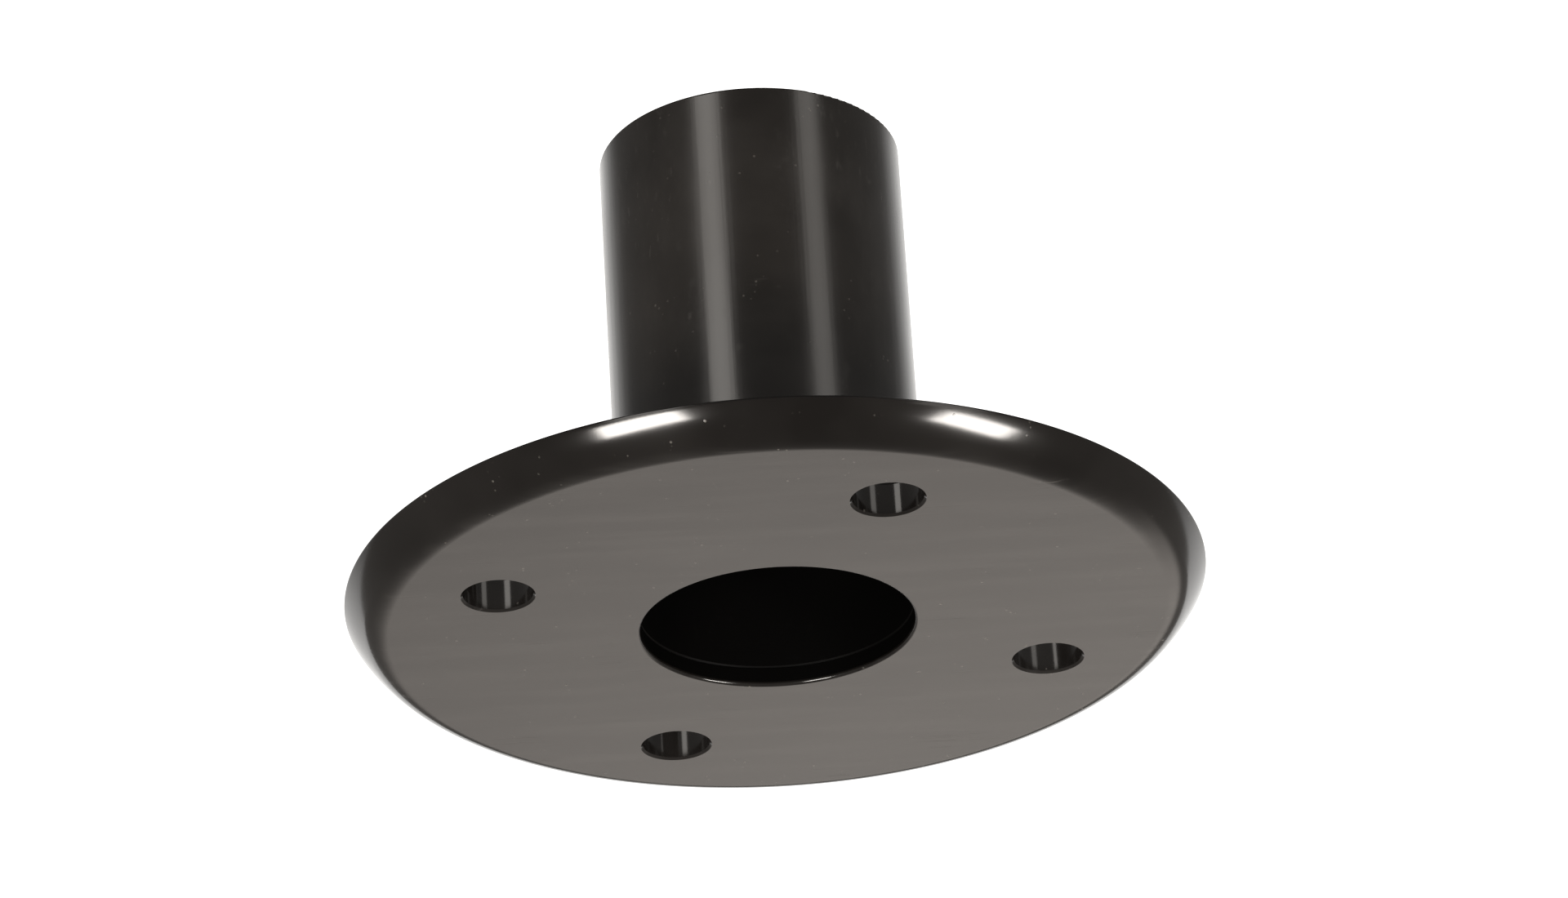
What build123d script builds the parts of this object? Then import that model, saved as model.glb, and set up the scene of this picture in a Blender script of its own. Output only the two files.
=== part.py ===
from build123d import *
import math
import os

# Pole socket flange: a round steel plate with a rounded visible rim, four plain
# screw holes and a centre bore, and a thin-walled tube welded to its back that
# takes a 35 mm pole. Frame: +Z along the tube, away from the visible face. The
# origin is on the bore's axis, in the plane of the flat visible face, so the
# part stands on that face. Millimetres. Sizes are over the black coat.

# ---------------------------------------------------------------- dimensions
PLATE_D = 112.0        # outside diameter of the plate
PLATE_T = 4.8          # thickness of the plate
RIM_R1 = 4.5           # rim: first radius, next to the flat face
RIM_TURN1 = 44.0       # degrees that the first radius turns through
RIM_TURN2 = 60.0       # slope of the rim's flank at the back edge, degrees
BACK_EDGE_R = 0.30     # rounding of the plate's back outer edge

BORE_D = 35.7          # socket bore, for a 35 mm pole
LAND = 2.5             # depth of the plate's own bore land, under the tube
BORE_EDGE_R = 0.4      # rounding of the bore's mouth

TUBE_OD = 40.4         # outside diameter of the tube
TOTAL_H = 69.5         # flat face to the tube's far end
TUBE_FOOT_CH = 0.35    # chamfer inside the tube's foot, at the joint
TUBE_END_R = 0.35      # rounding of the tube's far edge, outside
TUBE_END_CH = 0.3      # chamfer of the tube's far edge, inside

HOLE_PCD = 76.5        # pitch circle of the screw holes
HOLE_D = 9.0           # screw holes, clearance for 8 mm screws
HOLE_N = 4
HOLE_FRONT_CH = 0.3    # edge break on the visible face
HOLE_BACK_CH = 0.45    # edge break on the back face

WELD_LEG = 3.4         # leg of the ring weld at the tube's foot
WELD_CROWN = 0.35      # how far the weld's face stands out past a straight line
WELD_SEAT_D = 48.4     # shallow turned recess in the plate's back, round the tube,
WELD_SEAT_T = 0.4      # and its depth: it keeps the weld's toe below the back face

SEAT_D = 36.8          # stepped seat for the stop disc, turned in the tube's far end
STOP_T = 2.5           # thickness of the stop disc
STOP_RECESS = 2.6      # depth of the disc's outer face below the tube's end
STOP_WELD_LEG = 1.5    # leg of the ring weld over the disc's edge

# ---------------------------------------------------------------- derived
R_PLATE = PLATE_D / 2
R_BORE = BORE_D / 2
R_TUBE = TUBE_OD / 2
R_SEAT = SEAT_D / 2
WELD_Z = PLATE_T - WELD_SEAT_T
STOP_TOP = TOTAL_H - STOP_RECESS
STOP_BOTTOM = STOP_TOP - STOP_T


def revolved(points_and_arcs):
    """Closed profile in the XZ plane, turned about Z."""
    wire = Wire(points_and_arcs)
    return revolve(Face(wire), Axis.Z, 360)


def line(a, b):
    return Edge.make_line((a[0], 0, a[1]), (b[0], 0, b[1]))


def arc3(a, m, b):
    return Edge.make_three_point_arc((a[0], 0, a[1]), (m[0], 0, m[1]), (b[0], 0, b[1]))


# ---------------------------------------------------------------- plate
# The rim's section is two tangent arcs. RIM_R1 rises from the flat face, and a
# larger radius carries on to the small rounding at the back edge, whose side is
# the plate's outside diameter.
k = math.sqrt(0.5)
t1 = math.radians(RIM_TURN1)
t2 = math.radians(RIM_TURN2)
tm = (t1 + t2) / 2
e = BACK_EDGE_R
cb = (R_PLATE - e, PLATE_T - e)
end = (cb[0] + e * math.sin(t2), cb[1] - e * math.cos(t2))
back_mid = (cb[0] + e * k, cb[1] + e * k)
back_in = (cb[0], PLATE_T)
z1 = RIM_R1 * (1 - math.cos(t1))
rim_r2 = (end[1] - z1) / (math.cos(t1) - math.cos(t2))
p1 = (end[0] - rim_r2 * (math.sin(t2) - math.sin(t1)), z1)
m2 = (p1[0] + rim_r2 * (math.sin(tm) - math.sin(t1)),
      z1 + rim_r2 * (math.cos(t1) - math.cos(tm)))
r0 = p1[0] - RIM_R1 * math.sin(t1)
m1 = (r0 + RIM_R1 * math.sin(t1 / 2), RIM_R1 * (1 - math.cos(t1 / 2)))

b = BORE_EDGE_R
plate = revolved([
    line((R_BORE + b, 0), (r0, 0)),
    arc3((r0, 0), m1, p1),
    arc3(p1, m2, end),
    arc3(end, back_mid, back_in),
    line(back_in, (WELD_SEAT_D / 2, PLATE_T)),
    line((WELD_SEAT_D / 2, PLATE_T), (WELD_SEAT_D / 2 - 0.2, WELD_Z)),
    line((WELD_SEAT_D / 2 - 0.2, WELD_Z), (R_TUBE, WELD_Z)),
    line((R_TUBE, WELD_Z), (R_TUBE, LAND)),
    line((R_TUBE, LAND), (R_BORE, LAND)),
    line((R_BORE, LAND), (R_BORE, b)),
    arc3((R_BORE, b), (R_BORE + b - b * k, b - b * k), (R_BORE + b, 0)),
])

hole_r = HOLE_D / 2
hole_tool = revolve(Face(Wire([
    line((0, -1), (hole_r + HOLE_FRONT_CH + 1, -1)),
    line((hole_r + HOLE_FRONT_CH + 1, -1), (hole_r, HOLE_FRONT_CH)),
    line((hole_r, HOLE_FRONT_CH), (hole_r, PLATE_T - HOLE_BACK_CH)),
    line((hole_r, PLATE_T - HOLE_BACK_CH), (hole_r + HOLE_BACK_CH + 1, PLATE_T + 1)),
    line((hole_r + HOLE_BACK_CH + 1, PLATE_T + 1), (0, PLATE_T + 1)),
    line((0, PLATE_T + 1), (0, -1)),
])), Axis.Z, 360)
for i in range(HOLE_N):
    a = math.radians(360 / HOLE_N * i)
    place = Location((HOLE_PCD / 2 * math.cos(a), HOLE_PCD / 2 * math.sin(a), 0))
    plate = plate - place * hole_tool

# ---------------------------------------------------------------- tube
# The tube's foot sits in the counterbore on the plate's back, flush inside with
# the plate's bore; a small inner chamfer shows as the joint line. The far end is
# bored out to a shoulder that the stop disc rests on.
f = TUBE_FOOT_CH
g = TUBE_END_R
h = TUBE_END_CH
tube = revolved([
    line((R_BORE + f, LAND), (R_TUBE, LAND)),
    line((R_TUBE, LAND), (R_TUBE, TOTAL_H - g)),
    arc3((R_TUBE, TOTAL_H - g), (R_TUBE - g + g * k, TOTAL_H - g + g * k), (R_TUBE - g, TOTAL_H)),
    line((R_TUBE - g, TOTAL_H), (R_SEAT + h, TOTAL_H)),
    line((R_SEAT + h, TOTAL_H), (R_SEAT, TOTAL_H - h)),
    line((R_SEAT, TOTAL_H - h), (R_SEAT, STOP_BOTTOM)),
    line((R_SEAT, STOP_BOTTOM), (R_BORE, STOP_BOTTOM)),
    line((R_BORE, STOP_BOTTOM), (R_BORE, LAND + f)),
    line((R_BORE, LAND + f), (R_BORE + f, LAND)),
])

# ---------------------------------------------------------------- foot weld
# Ring fillet weld between the tube and the plate's back, slightly crowned.
w = WELD_LEG
mid = (R_TUBE + w / 2 + WELD_CROWN * k, WELD_Z + w / 2 + WELD_CROWN * k)
base_weld = revolved([
    line((R_TUBE, WELD_Z), (R_TUBE + w, WELD_Z)),
    arc3((R_TUBE + w, WELD_Z), mid, (R_TUBE, WELD_Z + w)),
    line((R_TUBE, WELD_Z + w), (R_TUBE, WELD_Z)),
])

# ---------------------------------------------------------------- stop disc
# Blanking disc on the shoulder in the tube's far end: the pole's end meets it.
d = 0.25
stop_disc = revolved([
    line((0, STOP_BOTTOM), (R_SEAT - d, STOP_BOTTOM)),
    line((R_SEAT - d, STOP_BOTTOM), (R_SEAT, STOP_BOTTOM + d)),
    line((R_SEAT, STOP_BOTTOM + d), (R_SEAT, STOP_TOP)),
    line((R_SEAT, STOP_TOP), (0, STOP_TOP)),
    line((0, STOP_TOP), (0, STOP_BOTTOM)),
])

# Ring weld over the disc's edge, inside the tube's mouth, slightly hollow.
v = STOP_WELD_LEG
vm = (R_SEAT - v / 2 + 0.12 * k, STOP_TOP + v / 2 - 0.12 * k)
stop_weld = revolved([
    line((R_SEAT, STOP_TOP), (R_SEAT, STOP_TOP + v)),
    arc3((R_SEAT, STOP_TOP + v), vm, (R_SEAT - v, STOP_TOP)),
    line((R_SEAT - v, STOP_TOP), (R_SEAT, STOP_TOP)),
])

# ---------------------------------------------------------------- write
os.makedirs("parts", exist_ok=True)
export_step(plate, "parts/flange_plate.step")
export_step(tube, "parts/socket_tube.step")
export_step(base_weld, "parts/base_weld.step")
export_step(stop_disc, "parts/stop_disc.step")
export_step(stop_weld, "parts/stop_weld.step")

print("second rim radius %.2f, rim width %.2f, socket depth %.2f"
      % (rim_r2, R_PLATE - r0, STOP_BOTTOM))
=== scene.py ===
import math
import random

import bmesh
import bpy
from mathutils import Matrix, Vector


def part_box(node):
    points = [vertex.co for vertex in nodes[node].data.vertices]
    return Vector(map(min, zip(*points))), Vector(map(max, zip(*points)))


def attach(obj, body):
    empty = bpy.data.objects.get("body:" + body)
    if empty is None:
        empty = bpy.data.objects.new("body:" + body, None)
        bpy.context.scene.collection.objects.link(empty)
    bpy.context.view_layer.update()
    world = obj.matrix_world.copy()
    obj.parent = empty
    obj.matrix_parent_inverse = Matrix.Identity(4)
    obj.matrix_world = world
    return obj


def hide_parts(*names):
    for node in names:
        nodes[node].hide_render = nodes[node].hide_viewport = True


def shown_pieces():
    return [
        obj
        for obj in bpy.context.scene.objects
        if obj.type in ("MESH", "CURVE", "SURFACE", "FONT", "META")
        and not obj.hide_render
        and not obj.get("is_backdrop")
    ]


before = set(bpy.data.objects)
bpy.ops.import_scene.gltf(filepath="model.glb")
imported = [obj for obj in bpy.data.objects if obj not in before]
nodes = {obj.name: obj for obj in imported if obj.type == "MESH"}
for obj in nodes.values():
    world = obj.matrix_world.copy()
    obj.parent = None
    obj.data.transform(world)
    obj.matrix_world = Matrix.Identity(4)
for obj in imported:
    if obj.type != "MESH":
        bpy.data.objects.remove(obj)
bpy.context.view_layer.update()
scene = bpy.context.scene

# ------------------------------------------------------------------ camera
# The view is from below the visible face, looking up along the tube.
CAM_LOC = Vector((-0.26022911, -0.62644921, -0.31871004))
CAM_RIGHT = Vector((0.93151262, -0.35921455, -0.05700128))
CAM_UP = Vector((-0.11583873, -0.44157493, 0.88971511))
CAM_BACK = Vector((-0.34476894, -0.82217790, -0.45294357))

cam_data = bpy.data.cameras.new("camera")
cam_data.sensor_fit = "HORIZONTAL"
cam_data.sensor_width = 36.0
cam_data.lens = 132.642
cam_data.clip_start = 0.01
cam_data.clip_end = 60.0
cam = bpy.data.objects.new("camera", cam_data)
scene.collection.objects.link(cam)
m = Matrix.Identity(4)
for i in range(3):
    m[i][0] = CAM_RIGHT[i]
    m[i][1] = CAM_UP[i]
    m[i][2] = CAM_BACK[i]
    m[i][3] = CAM_LOC[i]
cam.matrix_world = m
scene.camera = cam

# The camera's heading about Z: lights and backdrop are laid out from it.
HEAD = math.atan2(CAM_LOC.x, -CAM_LOC.y)


def polar(az_deg, dist, z):
    """A point at dist from the Z axis. az 0 is on the camera's side, and az
    grows towards the picture's right."""
    a = HEAD + math.radians(az_deg)
    return Vector((math.sin(a) * dist, -math.cos(a) * dist, z))


# ------------------------------------------------------------------ node help
class Tree:
    """A few short ways to add shader nodes."""

    def __init__(self, tree):
        self.t = tree

    def add(self, kind, **inputs):
        n = self.t.nodes.new(kind)
        for k, v in inputs.items():
            if k in n.inputs:
                n.inputs[k].default_value = v
            else:
                setattr(n, k, v)
        return n

    def link(self, a, b):
        self.t.links.new(a, b)

    def mapping(self, source, scale, location=(0, 0, 0)):
        n = self.t.nodes.new("ShaderNodeMapping")
        n.inputs["Scale"].default_value = scale
        n.inputs["Location"].default_value = location
        self.link(source, n.inputs["Vector"])
        return n.outputs["Vector"]

    def noise(self, vector, scale, detail=4.0, rough=0.55, dist=0.0):
        n = self.t.nodes.new("ShaderNodeTexNoise")
        n.inputs["Scale"].default_value = scale
        n.inputs["Detail"].default_value = detail
        n.inputs["Roughness"].default_value = rough
        n.inputs["Distortion"].default_value = dist
        self.link(vector, n.inputs["Vector"])
        return n.outputs["Fac"]

    def range(self, value, lo, hi, to_lo=0.0, to_hi=1.0, smooth=False):
        n = self.t.nodes.new("ShaderNodeMapRange")
        n.clamp = True
        if smooth:
            n.interpolation_type = "SMOOTHSTEP"
        n.inputs["From Min"].default_value = lo
        n.inputs["From Max"].default_value = hi
        n.inputs["To Min"].default_value = to_lo
        n.inputs["To Max"].default_value = to_hi
        self.link(value, n.inputs["Value"])
        return n.outputs["Result"]

    def math(self, op, a, b=None):
        n = self.t.nodes.new("ShaderNodeMath")
        n.operation = op
        for i, v in enumerate((a, b)):
            if v is None:
                continue
            if isinstance(v, (int, float)):
                n.inputs[i].default_value = v
            else:
                self.link(v, n.inputs[i])
        return n.outputs["Value"]

    def mix(self, fac, a, b):
        n = self.t.nodes.new("ShaderNodeMix")
        n.data_type = "RGBA"
        if isinstance(fac, (int, float)):
            n.inputs["Factor"].default_value = fac
        else:
            self.link(fac, n.inputs["Factor"])
        for name, v in (("A", a), ("B", b)):
            s = [x for x in n.inputs if x.name == name and x.type == "RGBA"][0]
            if isinstance(v, tuple):
                s.default_value = v
            else:
                self.link(v, s)
        return [x for x in n.outputs if x.type == "RGBA"][0]


def base(name):
    mat = bpy.data.materials.new(name)
    mat.use_nodes = True
    nt = mat.node_tree
    nt.nodes.clear()
    t = Tree(nt)
    out = nt.nodes.new("ShaderNodeOutputMaterial")
    sh = nt.nodes.new("ShaderNodeBsdfPrincipled")
    t.link(sh.outputs["BSDF"], out.inputs["Surface"])
    pos = nt.nodes.new("ShaderNodeTexCoord").outputs["Object"]
    return mat, t, sh, pos


def bump(t, sh, height, strength, distance):
    b = t.t.nodes.new("ShaderNodeBump")
    b.inputs["Strength"].default_value = strength
    b.inputs["Distance"].default_value = distance
    t.link(height, b.inputs["Height"])
    t.link(b.outputs["Normal"], sh.inputs["Normal"])


# ------------------------------------------------------------------ coat
def coat(name, black, rough_lo, rough_hi, ior, hair=0.5, dust=0.5, draw=0.0, orange=0.03, inner=0.0, flat_only=False):
    """Black coat over steel: colour drift, hairline rubs, dust and a faint skin.
    hair: how much the fine rub marks show. draw: lengthwise lines on a tube.
    inner: inside this radius (m) the coat is painted near black, rougher and with a low IOR, a painted shade for the
    dark inside of the bore."""
    mat, t, sh, pos = base(name)
    turn = t.t.nodes.new("ShaderNodeVectorRotate")
    turn.rotation_type = "Z_AXIS"
    turn.inputs["Angle"].default_value = math.radians(21.1)
    t.link(pos, turn.inputs["Vector"])
    along = turn.outputs["Vector"]
    # slow drift of tone and gloss
    drift = t.noise(pos, 38.0, 3.0, 0.5)
    fine = t.noise(pos, 900.0, 4.0, 0.6)
    # hairline rubs: stretched noise, thresholded to thin broken lines
    v1 = t.mapping(along, (70.0, 1700.0, 400.0))
    h1 = t.range(t.noise(v1, 1.0, 3.0, 0.6), 0.60, 0.72, 0, 1, True)
    v2 = t.mapping(along, (140.0, 1300.0, 400.0), (3.1, 1.7, 0.4))
    h2 = t.range(t.noise(v2, 1.0, 3.0, 0.6), 0.64, 0.76, 0, 1, True)
    patch = t.range(t.noise(pos, 55.0, 2.0, 0.5), 0.42, 0.66, 0, 1, True)
    rub = t.math("MULTIPLY", t.math("ADD", h1, t.math("MULTIPLY", h2, 0.6)), patch)
    # wiping smears: broad faint bands, longest along the same direction
    smear = t.range(t.noise(t.mapping(along, (26.0, 240.0, 60.0)), 1.0, 4.0, 0.62), 0.40, 0.72, 0, 1, True)
    if flat_only:
        zed = t.t.nodes.new("ShaderNodeSeparateXYZ")
        t.link(pos, zed.inputs["Vector"])
        face = t.range(zed.outputs["Z"], 0.0001, 0.0006, 1, 0)
        wall = t.range(zed.outputs["Z"], 0.0004, 0.0006, 0, 1)
        rub = t.math("MULTIPLY", rub, face)
        smear = t.math("MULTIPLY", smear, face)
    # dust: small pale specks
    vor = t.t.nodes.new("ShaderNodeTexVoronoi")
    vor.inputs["Scale"].default_value = 900.0
    vor.inputs["Randomness"].default_value = 1.0
    t.link(pos, vor.inputs["Vector"])
    spot = t.range(vor.outputs["Distance"], 0.08, 0.20, 1, 0, True)
    some = t.range(t.noise(pos, 310.0, 2.0, 0.5), 0.57, 0.70, 0, 1, True)
    speck = t.math("MULTIPLY", spot, some)
    # colour
    dark = tuple(black) + (1.0,)
    lite = tuple(min(1.0, c * 1.7 + 0.004) for c in black) + (1.0,)
    col = t.mix(t.range(drift, 0.35, 0.65, 0, 1), dark, lite)
    col = t.mix(t.math("MULTIPLY", smear, 0.10 * hair), col, (0.10, 0.095, 0.090, 1))
    col = t.mix(t.math("MULTIPLY", rub, 0.22 * hair), col, (0.10, 0.095, 0.088, 1))
    col = t.mix(t.math("MULTIPLY", speck, 0.65 * dust), col, (0.32, 0.30, 0.27, 1))
    hole = None
    # painted shade: inside the bore the colour goes near black, and a lower IOR and more roughness dull its
    # reflections, so the recess reads as shaded
    if inner > 0:
        flat = t.mapping(pos, (1.0, 1.0, 0.0))
        ln = t.t.nodes.new("ShaderNodeVectorMath")
        ln.operation = "LENGTH"
        t.link(flat, ln.inputs[0])
        hole = t.range(ln.outputs["Value"], inner - 0.0003, inner, 1, 0)
        # on the plate the painted bore shade starts just above the lip's fillet, on the bore's land
        if flat_only:
            hole = t.math("MULTIPLY", hole, wall)
        col = t.mix(hole, col, (0.0012, 0.0011, 0.0010, 1))
        t.link(t.range(hole, 0, 1, ior, 1.16), sh.inputs["IOR"])
    t.link(col, sh.inputs["Base Color"])
    # gloss
    r = t.range(drift, 0.30, 0.70, rough_lo, rough_hi)
    r = t.math("ADD", r, t.math("MULTIPLY", rub, 0.14 * hair))
    r = t.math("ADD", r, t.math("MULTIPLY", speck, 0.35 * dust))
    if hole is not None:
        r = t.math("ADD", r, t.math("MULTIPLY", hole, 0.25))
    t.link(r, sh.inputs["Roughness"])
    sh.inputs["IOR"].default_value = ior
    # relief
    hgt = t.math("MULTIPLY", fine, orange)
    hgt = t.math("ADD", hgt, t.math("MULTIPLY", t.noise(pos, 240.0, 2.0, 0.4), orange * 1.4))
    hgt = t.math("SUBTRACT", hgt, t.math("MULTIPLY", rub, 0.10 * hair))
    hgt = t.math("ADD", hgt, t.math("MULTIPLY", speck, 0.25 * dust))
    if draw > 0:
        # lengthwise draw lines: noise that changes with the angle and hardly with height
        vd = t.mapping(pos, (900.0, 900.0, 9.0))
        lines = t.noise(vd, 1.0, 4.0, 0.65)
        hgt = t.math("ADD", hgt, t.math("MULTIPLY", lines, draw))
    bump(t, sh, hgt, 0.5, 0.0001)
    return mat


BLACK = (0.0036, 0.0030, 0.0026)
# inner= sets the radius inside which each coat paints shade into the bore
plate_mat = coat("plate_coat", BLACK, 0.10, 0.16, 1.43, hair=0.9, dust=0.42, inner=0.0184, flat_only=True)
tube_mat = coat("tube_coat", (0.0054, 0.0043, 0.0034), 0.18, 0.25, 1.46, hair=0.4, dust=0.16, draw=0.25, inner=0.0190)
weld_mat = coat("weld_coat", (0.0050, 0.0042, 0.0036), 0.20, 0.32, 1.46, hair=0.1, dust=0.5, orange=0.10)
disc_mat = coat("disc_coat", (0.0030, 0.0027, 0.0024), 0.34, 0.46, 1.40, hair=0.6, dust=0.6)


def paint(obj, mat):
    obj.data.materials.clear()
    obj.data.materials.append(mat)
    for p in obj.data.polygons:
        p.material_index = 0


paint(nodes["socket_tube"], tube_mat)
paint(nodes["stop_disc"], disc_mat)


# ------------------------------------------------------------------ plate
def arc(cx, cz, r, a0, a1, n):
    """Points of an arc in section, angles in degrees from straight down, outward."""
    return [(cx + r * math.sin(math.radians(a0 + (a1 - a0) * i / n)),
             cz - r * math.cos(math.radians(a0 + (a1 - a0) * i / n))) for i in range(n + 1)]


def lathe(name, section, around):
    """A closed section of (r, z) in mm, turned about Z."""
    bm = bmesh.new()
    rings = []
    for i in range(around):
        a = 2 * math.pi * i / around
        rings.append([bm.verts.new((r * math.cos(a) / 1000, r * math.sin(a) / 1000, z / 1000)) for r, z in section])
    n = len(section)
    for i in range(around):
        p, q = rings[i], rings[(i + 1) % around]
        for j in range(n):
            bm.faces.new((p[j], q[j], q[(j + 1) % n], p[(j + 1) % n]))
    bmesh.ops.recalc_face_normals(bm, faces=bm.faces)
    me = bpy.data.meshes.new(name)
    bm.to_mesh(me)
    bm.free()
    ob = bpy.data.objects.new(name, me)
    scene.collection.objects.link(ob)
    return ob


# the same section as the CAD plate, with finer steps round the rolled rim
R_OUT, T, E = 56.0, 4.8, 0.30
ex, ez = R_OUT - E + E * math.sin(math.radians(60)), T - E - E * math.cos(math.radians(60))
z1 = 4.5 * (1 - math.cos(math.radians(44)))
R2 = (ez - z1) / (math.cos(math.radians(44)) - math.cos(math.radians(60)))
px = ex - R2 * (math.sin(math.radians(60)) - math.sin(math.radians(44)))
r_flat = px - 4.5 * math.sin(math.radians(44))
section = [(17.85, 0.4)] + arc(18.25, 0.4, 0.4, -90, 0, 8)[1:]
section += arc(r_flat, 4.5, 4.5, 0, 44, 22)
c2x, c2z = px - R2 * math.sin(math.radians(44)), z1 + R2 * math.cos(math.radians(44))
section += arc(c2x, c2z, R2, 44, 60, 14)[1:]
section += arc(R_OUT - E, T - E, E, 60, 180, 16)[1:]
section += [(24.2, 4.8), (24.0, 4.4), (20.2, 4.4), (20.2, 2.5), (17.85, 2.5)]
plate = lathe("flange_plate_turned", section, 480)

cut_section = [(0.02, -1.0), (5.8, -1.0), (4.5, 0.3), (4.5, 4.35), (5.95, 5.8), (0.02, 5.8)]
cutters = []
for i in range(4):
    c = lathe("hole_cutter_%d" % i, cut_section, 96)
    # close the hair-thin core left by the turning
    bm = bmesh.new()
    bm.from_mesh(c.data)
    bmesh.ops.remove_doubles(bm, verts=[v for v in bm.verts if math.hypot(v.co.x, v.co.y) < 3e-5], dist=6e-5)
    bmesh.ops.dissolve_degenerate(bm, edges=bm.edges, dist=1e-7)
    core = [f for f in bm.faces if all(math.hypot(v.co.x, v.co.y) < 3e-5 for v in f.verts)]
    bmesh.ops.delete(bm, geom=core, context="FACES")
    bmesh.ops.recalc_face_normals(bm, faces=bm.faces)
    bm.to_mesh(c.data)
    bm.free()
    a = math.radians(90 * i)
    c.location = (0.03825 * math.cos(a), 0.03825 * math.sin(a), 0)
    mod = plate.modifiers.new("hole_%d" % i, "BOOLEAN")
    mod.operation = "DIFFERENCE"
    mod.solver = "EXACT"
    mod.object = c
    cutters.append(c)
bpy.context.view_layer.update()
dg = bpy.context.evaluated_depsgraph_get()
done = bpy.data.meshes.new_from_object(plate.evaluated_get(dg))
plate.modifiers.clear()
plate.data = done
for c in cutters:
    cm = c.data
    bpy.data.objects.remove(c)
    bpy.data.meshes.remove(cm)
for p in plate.data.polygons:
    p.use_smooth = True
plate.data.set_sharp_from_angle(angle=math.radians(24))
wn = plate.modifiers.new("face_weighted", "WEIGHTED_NORMAL")
wn.mode = "FACE_AREA"
wn.weight = 80
wn.keep_sharp = True

plate.data.materials.clear()
plate.data.materials.append(plate_mat)
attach(plate, "root")
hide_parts("flange_plate")

# ------------------------------------------------------------------ weld beads
def bead(name, r_root, z_root, out, up, leg, crown, pitch, seed, wobble):
    """A ring fillet bead in the corner at r_root, z_root. out is +1 when it runs
    outwards from that radius, -1 inwards. Its face is a row of overlapping
    ripples, each a little different."""
    rnd = random.Random(seed)
    count = max(24, int(round(2 * math.pi * (r_root + out * leg / 2) / pitch)))
    amp = [rnd.uniform(0.75, 1.25) for _ in range(count)]
    skew = [rnd.uniform(-0.12, 0.12) for _ in range(count)]
    width = [rnd.uniform(1 - wobble, 1 + wobble) for _ in range(count)]
    around = count * 9
    across = 12
    bm = bmesh.new()
    rings = []
    for i in range(around):
        a = 2 * math.pi * i / around
        ring = []
        for j in range(across + 1):
            u = j / across
            # ripples are crescents: the middle of the bead lags behind its edges
            lag = 0.55 * math.sin(math.pi * u)
            s = i / 9.0 - lag
            k = int(math.floor(s)) % count
            n = (k + 1) % count
            f = s - math.floor(s)
            w = width[k] * (1 - f) + width[n] * f
            tooth = (1 - f) ** 1.5 * amp[k] + f ** 3 * amp[n] + skew[k] * f * (1 - f)
            edge = math.sin(math.pi * u)
            h = crown * (0.45 + 0.55 * tooth) * edge
            # from the toe on the plate (u 0) to the toe on the tube (u 1)
            L = leg * (0.94 * w if w < 1.06 else 1.0)
            L = min(L, leg)
            rr = L * (1 - u)
            zz = L * u
            nx = nz = math.sqrt(0.5)
            rr += nx * h
            zz += nz * h
            lim = leg + crown * 0.5
            rr = max(0.0, min(rr, lim))
            zz = max(0.0, min(zz, lim))
            r = r_root + out * rr
            z = z_root + up * zz
            ring.append(bm.verts.new((math.cos(a) * r / 1000, math.sin(a) * r / 1000, z / 1000)))
        # the root corner closes the section
        ring.append(bm.verts.new((math.cos(a) * r_root / 1000, math.sin(a) * r_root / 1000, z_root / 1000)))
        rings.append(ring)
    total = across + 2
    for i in range(around):
        a, b = rings[i], rings[(i + 1) % around]
        for j in range(total):
            q = (a[j], b[j], b[(j + 1) % total], a[(j + 1) % total])
            f = bm.faces.new(q)
            f.smooth = j < across
    bmesh.ops.recalc_face_normals(bm, faces=bm.faces)
    me = bpy.data.meshes.new(name)
    bm.to_mesh(me)
    bm.free()
    ob = bpy.data.objects.new(name, me)
    scene.collection.objects.link(ob)
    return ob


lo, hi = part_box("base_weld")
tlo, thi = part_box("socket_tube")
R_TUBE = (thi.x - tlo.x) / 2 * 1000
weld_leg = (hi.z - lo.z) * 1000
base_bead = bead("base_weld_bead", R_TUBE, lo.z * 1000, +1, +1, weld_leg - 0.25, 0.55, 2.3, 11, 0.05)
base_bead.data.materials.append(weld_mat)
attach(base_bead, "root")
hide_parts("base_weld")

slo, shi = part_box("stop_weld")
seat = (shi.x - slo.x) / 2 * 1000
stop_bead = bead("stop_weld_bead", seat, slo.z * 1000, -1, +1, (shi.z - slo.z) * 1000 - 0.1, 0.22, 1.6, 5, 0.06)
stop_bead.data.materials.append(weld_mat)
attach(stop_bead, "root")
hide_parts("stop_weld")

# ------------------------------------------------------------------ floor
FLOOR_Z = -1.10
bm = bmesh.new()
bmesh.ops.create_grid(bm, x_segments=2, y_segments=2, size=14.0)
me = bpy.data.meshes.new("floor")
bm.to_mesh(me)
bm.free()
floor = bpy.data.objects.new("floor", me)
floor.location = (0, 0, FLOOR_Z)
scene.collection.objects.link(floor)
mat, t, sh, pos = base("floor_pale")
tone = t.range(t.noise(pos, 1.5, 3.0, 0.5), 0.3, 0.7, 0, 1)
t.link(t.mix(tone, (0.80, 0.755, 0.715, 1), (0.84, 0.795, 0.755, 1)), sh.inputs["Base Color"])
sh.inputs["Roughness"].default_value = 0.9
floor.data.materials.append(mat)
floor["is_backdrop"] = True

# ------------------------------------------------------------------ light
world = bpy.data.worlds.new("studio")
scene.world = world
world.use_nodes = True
wt = Tree(world.node_tree)
world.node_tree.nodes.clear()
wout = wt.t.nodes.new("ShaderNodeOutputWorld")
bg = wt.t.nodes.new("ShaderNodeBackground")
wt.link(bg.outputs["Background"], wout.inputs["Surface"])
co = wt.t.nodes.new("ShaderNodeTexCoord").outputs["Generated"]
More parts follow.
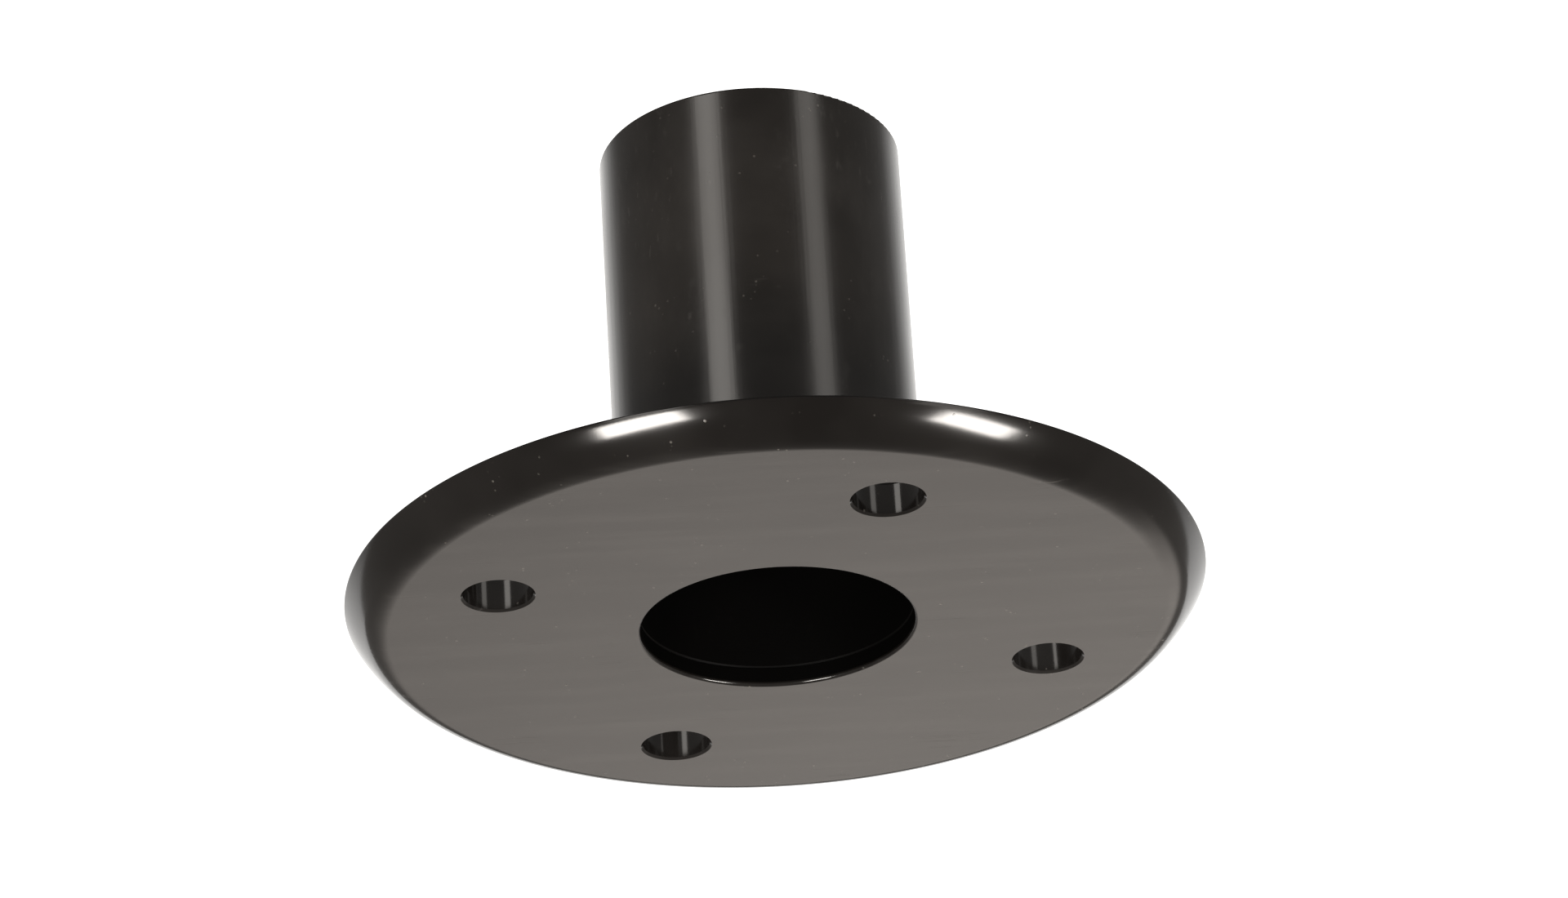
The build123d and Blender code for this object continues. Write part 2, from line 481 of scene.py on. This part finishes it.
# turned so that +Y points away from the camera's heading
rot = wt.t.nodes.new("ShaderNodeVectorRotate")
rot.rotation_type = "Z_AXIS"
rot.inputs["Angle"].default_value = -HEAD
wt.link(co, rot.inputs["Vector"])
sep = wt.t.nodes.new("ShaderNodeSeparateXYZ")
wt.link(rot.outputs["Vector"], sep.inputs["Vector"])
lvl = wt.range(sep.outputs["Y"], 0.42, 0.84, 0.25, 1.45, True)
top = wt.range(sep.outputs["Z"], 0.50, 0.95, 1.0, 0.25, True)
wt.link(wt.math("MULTIPLY", lvl, top), bg.inputs["Strength"])
bg.inputs["Color"].default_value = (1.0, 0.985, 0.965, 1)


def area(name, az, dist, z, target, w, h, radiance, color=(1, 1, 1), linked=True):
    data = bpy.data.lights.new(name, "AREA")
    data.shape = "RECTANGLE"
    data.size = w
    data.size_y = h
    data.energy = radiance * math.pi * w * h
    data.color = color
    ob = bpy.data.objects.new(name, data)
    scene.collection.objects.link(ob)
    ob.location = polar(az, dist, z)
    d = Vector(target) - ob.location
    ob.rotation_euler = d.to_track_quat("-Z", "Y").to_euler()
    ob.visible_camera = False
    if linked:
        ob.light_linking.receiver_collection = lit
    return ob


lit = bpy.data.collections.new("lit_parts")
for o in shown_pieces():
    lit.objects.link(o)

WARM = (1.0, 0.955, 0.90)


def strip(name, az, width, top, core):
    """A tall soft strip at 0.8 m, at two levels of light."""
    for part, e0, e1, lum in (("top", 13.0, 46.0, top), ("core", -28.0, 13.0, core)):
        z0, z1 = 0.8 * math.tan(math.radians(e0)), 0.8 * math.tan(math.radians(e1))
        zm = (z0 + z1) / 2
        area(name + "_" + part, az, 0.80, zm, (0, 0, zm), width, z1 - z0, lum, WARM)


def low_box(name, az, e_mid, dist, width, height, lum):
    """A softbox under the part, squarely facing it."""
    e = math.radians(e_mid)
    area(name, az, dist * math.cos(e), dist * math.sin(e), (0, 0, 0), width, height, lum, WARM)


strip("strip_left", -30, 0.25, 4.4, 3.0)
strip("strip_right", 47, 0.23, 2.4, 2.0)
low_box("low_left", -34, -36.0, 0.95, 0.32, 0.19, 46.0)
low_box("low_right", 60, -36.0, 0.95, 0.30, 0.19, 44.0)
# a broad soft panel close over the floor behind the object, facing down
panel = area("back_soft", 180, 2.6, -0.60, (0, 0, 0), 2.1, 2.1, 1.90, (1.0, 0.97, 0.94), linked=False)
side = Vector((math.cos(HEAD), math.sin(HEAD), 0.0))
panel.location = panel.location + side * 0.60
panel.rotation_euler = (0, 0, HEAD)

scene.view_settings.view_transform = "Standard"
scene.view_settings.look = "None"
scene.view_settings.exposure = 0.0
scene.view_settings.gamma = 1.0
